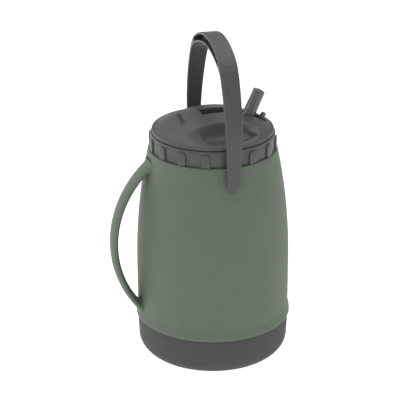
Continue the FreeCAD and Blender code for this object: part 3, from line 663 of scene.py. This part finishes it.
def dome_skin(x, y):
    """The dome's height without its slot."""
    ball = APEX - BALL + math.sqrt(max(BALL ** 2 - x * x - y * y, 0.0))
    if y > 0:
        x, y = -x, -y
    facet = FACET + (y + BRIDGE) * FACET_SLOPE
    height = ball + (soft_min(ball, facet, 1.6) - ball) * ease((-y - BRIDGE + 1.0) / 7.0)
    inside = min(scoop_depth(x, y), (-y - BRIDGE) * 0.22)
    return height + (min(SCOOP_FLOOR, height) - height) * ease(inside / 2.6)


def dome_height(x, y):
    """The dome's height with its slot, whose upper edge is eased by a small radius."""
    height = dome_skin(x, y)
    outside = max(abs(y) - SLOT_HALF, SLOT_START - x, x - SLOT_END)
    if outside < -0.01:
        return SLOT_FLOOR if x < SLOT_STEP + 0.01 else SLOT_LEDGE
    near = max(0.0, SLOT_EASE - max(outside, 0.0))
    return height - SLOT_EASE + math.sqrt(SLOT_EASE ** 2 - near ** 2)


# %% [markdown]
# A plain grid has its lines evenly spaced. These lines are also packed beside each edge of the
# slot, so that its walls stand upright and its eased edge is round. The skin is given its
# thickness, and a spun bead makes its rim.


# %% Space the grid's lines
LINE_GAP = 0.85
BESIDE_AN_EDGE = (-0.04, 0.0, 0.12, 0.4, 0.9)


def line_places(reach, gap, walls):
    packed = [edge + side * step for edge, side in walls for step in BESIDE_AN_EDGE]
    count = round(2 * reach / gap)
    even = [-reach + 2 * reach * step / count for step in range(count + 1)]
    lone = [place for place in even if min(abs(place - other) for other in packed) > gap * 0.4]
    return sorted(lone + packed)


def dome():
    reach = EDGE_RADIUS + 1.2
    along = line_places(reach, LINE_GAP, [(SLOT_START, -1), (SLOT_END, 1), (SLOT_STEP, 1)])
    across = line_places(reach, LINE_GAP, [(-SLOT_HALF, -1), (SLOT_HALF, 1)])
    bm = bmesh.new()
    bmesh.ops.create_grid(bm, x_segments=len(along) - 1, y_segments=len(across) - 1, size=1.0)

    def spread(x, y, z):
        column = along[round((x + 1) / 2 * (len(along) - 1))]
        row = across[round((y + 1) / 2 * (len(across) - 1))]
        return column * MM, row * MM, dome_height(column, row) * MM

    move(bm, spread)
    rim = (EDGE_RADIUS + 0.5) * MM
    beyond = [vert for vert in bm.verts if math.hypot(vert.co.x, vert.co.y) > rim]
    bmesh.ops.delete(bm, geom=beyond, context="VERTS")
    return bm


dome_piece_mesh = dome()
bmesh.ops.solidify(dome_piece_mesh, geom=dome_piece_mesh.faces[:], thickness=1.8 * MM)


def dome_rim():
    """The rolled bead round the dome's edge, and the skirt under it."""
    outer = dome_high[0]
    inner = outer - 3.2 * MM
    low, top = 250.4 * MM, (EDGE_HEIGHT + 0.9) * MM
    return spun([
        (inner, low),
        (outer - 0.4 * MM, low, 0.3 * MM),
        (outer, low + 0.8 * MM, 0.3 * MM),
        (outer, top, 1.25 * MM),
        (inner, top, 1.1 * MM),
    ])


add_to(dome_piece_mesh, dome_rim())
make_piece("dome_top", dome_piece_mesh, "lid", "lid_plastic", ["lid_dome"], crisp=52.0)

# %% [markdown]
# The moulder's mark on the dome is a plain row of short raised bars. Each bar is a cube that is
# bevelled, laid on the dome and sunk a little into it.


# %% Raise the tick bars
TICKS = 9
TICK_GAP = 3.3
TICK_ROW = -35.2
TICK_SLANT = 0.073


def tick_bars():
    bm = bmesh.new()
    for number in range(TICKS):
        y = TICK_GAP * (number - TICKS // 2)
        x = TICK_ROW + TICK_SLANT * y
        bar = bmesh.new()
        bmesh.ops.create_cube(bar, size=1.0)
        bmesh.ops.scale(bar, vec=(4.6 * MM, 1.5 * MM, 2.2 * MM), verts=bar.verts[:])
        bmesh.ops.bevel(bar, geom=bar.edges[:], offset=0.35 * MM, offset_type="OFFSET",
                        segments=2, profile=0.5, affect="EDGES", material=-1)
        spot = Vector((x, y, dome_skin(x, y)))
        slope = (spot - Vector((0, 0, APEX - BALL))).normalized()
        turn = Vector((0, 0, 1)).rotation_difference(slope).to_matrix().to_4x4()
        bmesh.ops.transform(bar, verts=bar.verts[:],
                            matrix=Matrix.Translation(spot * MM - slope * 0.3 * MM) @ turn)
        add_to(bm, bar)
    return bm


make_piece("tick_bars", tick_bars(), "lid", "lid_plastic", crisp=40.0)

# %% [markdown]
# The bail is one moulded strap. Seen from the side its outer face has straight legs, long side
# arcs, a tighter bend at each shoulder and a broad crown. Over the palm it is thicker, because its
# inner face keeps to an arc of its own. There both edges are hollowed to save plastic, which
# leaves two flanges joined by a web. Lengths are in millimetres here too.

# %% Lay out the bail
bail_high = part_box("bail_handle")[1]
pivot = Vector(hinges["bail_swing"]["pos_m"])
LEAN = math.radians(0.8)
SPAN = 79.0
LEG_TOP = 246.0
TIP = 6.7
# Each bend's centre (y, z), its radius, and the z at which it hands over to the next one down.
CROWN = (0.0, 268.2, 86.0, 341.9)
SHOULDER = (28.8, 316.2, 30.0, 331.9)
SIDE = (-86.0, 246.0, 165.0, 246.0)
PALM_MIDDLE = 242.7
PALM = 100.0
STRAP = 4.0
FLANGE = 2.2
HALF_WEB = 1.25
HOLLOW_REACH = 47.0
BOSS_RADIUS = 6.2 * MM
boss_end = (SPAN - STRAP / 2) * MM
boss_length = boss_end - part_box("bail_washer_rear")[1][1]


def strap_line(gap):
    """Points along the right half of the outer face, from the top to the tip, a gap apart."""
    points = []
    turn = 0.0
    for middle_y, middle_z, radius, low in (CROWN, SHOULDER, SIDE):
        last = math.acos((low - middle_z) / radius)
        count = math.ceil((last - turn) * radius / gap)
        for step in range(count):
            angle = turn + (last - turn) * step / count
            spoke = (math.sin(angle), math.cos(angle))
            points.append((middle_y + radius * spoke[0], middle_z + radius * spoke[1], *spoke))
        turn = last
    low = pivot.z / MM - TIP
    count = 40
    for step in range(count + 1):
        share = math.sin(step / count * math.pi / 2)
        points.append((SPAN, LEG_TOP + (low - LEG_TOP) * share, 1.0, 0.0))
    return points


def half_width(height):
    """Half the strap's width: round at the tip, and wider up the leg to the crown."""
    tip = pivot.z / MM
    if height < tip:
        return math.sqrt(max(TIP ** 2 - (tip - height) ** 2, 0.3 ** 2))
    knots = [(tip, TIP), (258.0, 8.2), (290.0, 9.1), (325.0, 9.75)]
    for (low, narrow), (high, wide) in zip(knots, knots[1:]):
        if height <= high:
            return narrow + (wide - narrow) * (height - low) / (high - low)
    return knots[-1][1]


def thickness(reach, height, spoke):
    """How thick the strap is: four millimetres, or more where the palm arc lies further in."""
    along = reach * spoke[0] + (height - PALM_MIDDLE) * spoke[1]
    beyond = along ** 2 - (reach ** 2 + (height - PALM_MIDDLE) ** 2 - PALM ** 2)
    to_palm = along - math.sqrt(beyond) if beyond > 0 and height > 300 else 0.0
    return -soft_min(-STRAP, -to_palm, 3.0)


# %% [markdown]
# The strap's section is a closed line of points that starts in the middle of the outer face. Each
# is given as a place across the strap and a depth below the outer face. The hollow closes where
# the strap is too thin to hold two flanges.


# %% Draw the bail's section
def section(wide, thick, reach):
    """Half the section, from the middle of the outer face round to the middle of the inner one."""
    room = max(thick / 2 - FLANGE, 0.0)
    open_here = ease(room / 0.5) * (1.0 if reach < HOLLOW_REACH else 0.0)
    hollow = (wide - HALF_WEB) * open_here
    room = room * open_here
    edge = min(1.2, wide * 0.5, thick * 0.3)
    lip = min(0.35, hollow * 0.5)
    turns = [math.radians(angle) for angle in (0, 22.5, 45, 67.5, 90)]
    outer = [(wide - edge + edge * math.sin(turn), edge - edge * math.cos(turn)) for turn in turns]
    middle = thick / 2
    half = [(0.0, 0.0), (wide * 0.5, 0.0), *outer,
            (wide, middle - room - lip), (wide - lip * 0.7, middle - room),
            (wide - hollow, middle - room + lip * 0.5)]
    mirrored = [(across, thick - depth) for across, depth in reversed(half)]
    return half + mirrored


def bail():
    right = strap_line(1.6)
    line = [(-y, z, -out_y, out_z) for y, z, out_y, out_z in reversed(right[1:])] + right
    around = 2 * len(section(TIP, STRAP, 0.0)) - 2
    bm = bmesh.new()
    bmesh.ops.create_grid(bm, x_segments=around, y_segments=len(line) - 1, size=1.0)

    def lay(x, y, z):
        row = round((y + 1) / 2 * (len(line) - 1))
        column = round((x + 1) / 2 * around)
        reach, height, *spoke = line[row]
        wide = half_width(height)
        thick = thickness(abs(reach), height, (abs(spoke[0]), spoke[1]))
        half = section(wide, thick, abs(reach))
        side = 1.0 if column < len(half) else -1.0
        across, depth = half[column if side > 0 else around - column]
        return (side * across * MM, (reach - spoke[0] * depth) * MM,
                (height - spoke[1] * depth) * MM)

    move(bm, lay)
    bmesh.ops.remove_doubles(bm, verts=bm.verts[:], dist=MM * 0.005)
    bmesh.ops.holes_fill(bm, edges=[edge for edge in bm.edges if edge.is_boundary])
    for side in (-1, 1):
        boss = bmesh.new()
        bmesh.ops.create_cone(boss, cap_ends=True, segments=64, radius1=BOSS_RADIUS,
                              radius2=BOSS_RADIUS, depth=boss_length)
        turn = Matrix.Rotation(math.pi / 2, 4, "X")
        place = Matrix.Translation((0, side * (boss_end - boss_length / 2), pivot.z))
        bmesh.ops.transform(boss, verts=boss.verts[:], matrix=place @ turn)
        add_to(bm, boss)
    bmesh.ops.rotate(bm, verts=bm.verts[:], cent=pivot, matrix=Matrix.Rotation(LEAN, 3, "Y"))
    return bm


strap = bail()
print("strap box", [round(max(vert.co[axis] for vert in strap.verts), 4) for axis in range(3)],
      "packed", bail_high)
make_piece("bail_strap", strap, "bail", "bail_plastic", ["bail_handle"], crisp=32.0)

# %% [markdown]
# The spout is a tapered tube on a round hub. The side that faces the dome when the spout folds
# down has shallow lengthwise grooves. Its mouth is rounded, and a short peg beside it takes the
# thumb.

# %% Build the spout
TILT = math.radians(25.0)
LENGTH = 43.6 * MM
SPOUT_BORE = 3.4 * MM
HUB_RADIUS = 8.5 * MM
HUB_HALF = 7.0 * MM
PIN_HOLE = 1.65 * MM
PEG_REACH = 15.6 * MM
PEG_HEIGHT = 14.8 * MM
PEG_TALL = 10.0 * MM
GROOVE = 0.9 * MM
GROOVED_SIDE = 2.0


def tube():
    bm = spun([
        (SPOUT_BORE, 2.0 * MM),
        (6.5 * MM, 2.0 * MM),
        (6.6 * MM, 10.5 * MM, 1.5 * MM),
        (7.2 * MM, 14.0 * MM),
        (6.9 * MM, 24.0 * MM),
        (6.6 * MM, LENGTH, 1.5 * MM),
        (SPOUT_BORE, LENGTH, 0.5 * MM),
        (SPOUT_BORE, 24.0 * MM),
    ], steps=144)

    def ridges(x, y, z):
        radius = math.hypot(x, y)
        if radius < 5.0 * MM:
            return x, y, z
        angle = abs(math.atan2(y, -x))
        along = ease((z / MM - 12.0) / 3.0) * ease((LENGTH / MM - 3.0 - z / MM) / 3.0)
        wave = 0.5 - 0.5 * math.cos(angle * 8.0)
        sunk = GROOVE * wave * along * ease((GROOVED_SIDE - angle) / 0.2)
        return x * (radius - sunk) / radius, y * (radius - sunk) / radius, z

    move(bm, ridges)
    return bm


def hub():
    bm = spun([
        (PIN_HOLE, -HUB_HALF),
        (HUB_RADIUS, -HUB_HALF, 0.7 * MM),
        (HUB_RADIUS, HUB_HALF, 0.7 * MM),
        (PIN_HOLE, HUB_HALF),
    ], steps=96)
    bmesh.ops.rotate(bm, verts=bm.verts[:], cent=(0, 0, 0),
                     matrix=Matrix.Rotation(math.pi / 2, 3, "X"))
    return bm


def thumb_peg():
    """An arm that leaves the hub at a slant, and an upright peg with a domed end."""
    arm = bmesh.new()
    bmesh.ops.create_cube(arm, size=1.0)
    bmesh.ops.scale(arm, vec=(4.4 * MM, 4.4 * MM, 18.0 * MM), verts=arm.verts[:])
    bmesh.ops.bevel(arm, geom=arm.edges[:], offset=0.8 * MM, offset_type="OFFSET", segments=3,
                    profile=0.5, affect="EDGES", material=-1)
    bmesh.ops.translate(arm, vec=(0, 0, 9.5 * MM), verts=arm.verts[:])
    bmesh.ops.rotate(arm, verts=arm.verts[:], cent=(0, 0, 0),
                     matrix=Matrix.Rotation(math.atan2(PEG_REACH, PEG_HEIGHT), 3, "Y"))
    peg = spun([
        (0, 0),
        (3.0 * MM, 0, 0.4 * MM),
        (2.9 * MM, PEG_TALL, 2.0 * MM),
        (0, PEG_TALL),
    ], steps=48)
    bmesh.ops.translate(peg, vec=(PEG_REACH, 0, PEG_HEIGHT - 2 * MM), verts=peg.verts[:])
    add_to(arm, peg)
    return arm


spout_skin = tube()
add_to(spout_skin, thumb_peg())
add_to(spout_skin, hub())
bmesh.ops.rotate(spout_skin, verts=spout_skin.verts[:], cent=(0, 0, 0),
                 matrix=Matrix.Rotation(TILT, 3, "Y"))
bmesh.ops.translate(spout_skin, vec=hinge, verts=spout_skin.verts[:])
make_piece("mouth_spout", spout_skin, "spout", "spout_plastic", ["spout"], crisp=38.0)

# %% [markdown]
# The stage is a pale floor under plain soft light. Large square lamps stand in front, at both
# sides, behind on the left and above, and an even surround fills the rest. The floor glows, as a
# sweep that is lit from behind does, so that it stays white right up to the jug.


# %% Light the stage
def pale_floor():
    bm = bmesh.new()
    bmesh.ops.create_grid(bm, x_segments=1, y_segments=1, size=6.0)
    mesh = bpy.data.meshes.new("floor")
    bm.to_mesh(mesh)
    bm.free()
    finish = Finish("pale_floor")
    mesh.materials.append(finish.done(
        Base_Color=(0.35, 0.35, 0.35), Roughness=0.9, Specular_IOR_Level=0.1,
        Emission_Color=(1.0, 1.0, 1.0, 1.0), Emission_Strength=0.95))
    floor = bpy.data.objects.new("floor", mesh)
    bpy.context.collection.objects.link(floor)


def soft_lamp(name, place, size, brightness):
    """A square lamp that faces the jug. Its brightness doesn't change with its size."""
    lamp = bpy.data.lights.new(name, "AREA")
    lamp.size = size
    lamp.energy = brightness * math.pi * size ** 2
    holder = bpy.data.objects.new(name, lamp)
    holder.location = place
    holder.rotation_euler = (Vector(place) - AIM).to_track_quat("Z", "Y").to_euler()
    bpy.context.collection.objects.link(holder)


pale_floor()
soft_lamp("overhead", (0.0, 0.3, 2.4), 3.2, 1.25)
soft_lamp("front", (-0.4, -2.4, 1.0), 2.2, 0.5)
soft_lamp("left", (-2.1, 0.2, 0.9), 1.8, 0.6)
soft_lamp("left back", (-1.6, 1.7, 0.8), 1.6, 1.6)
soft_lamp("right", (2.2, -0.5, 0.9), 1.8, 0.4)
world = bpy.data.worlds.new("studio")
bpy.context.scene.world = world
world.use_nodes = True
world.node_tree.nodes["Background"].inputs["Color"].default_value = (1.0, 1.0, 1.0, 1.0)
world.node_tree.nodes["Background"].inputs["Strength"].default_value = 0.48
bpy.context.scene.view_settings.view_transform = "Standard"
print("lamps:", sorted(lamp.name for lamp in bpy.data.lights))
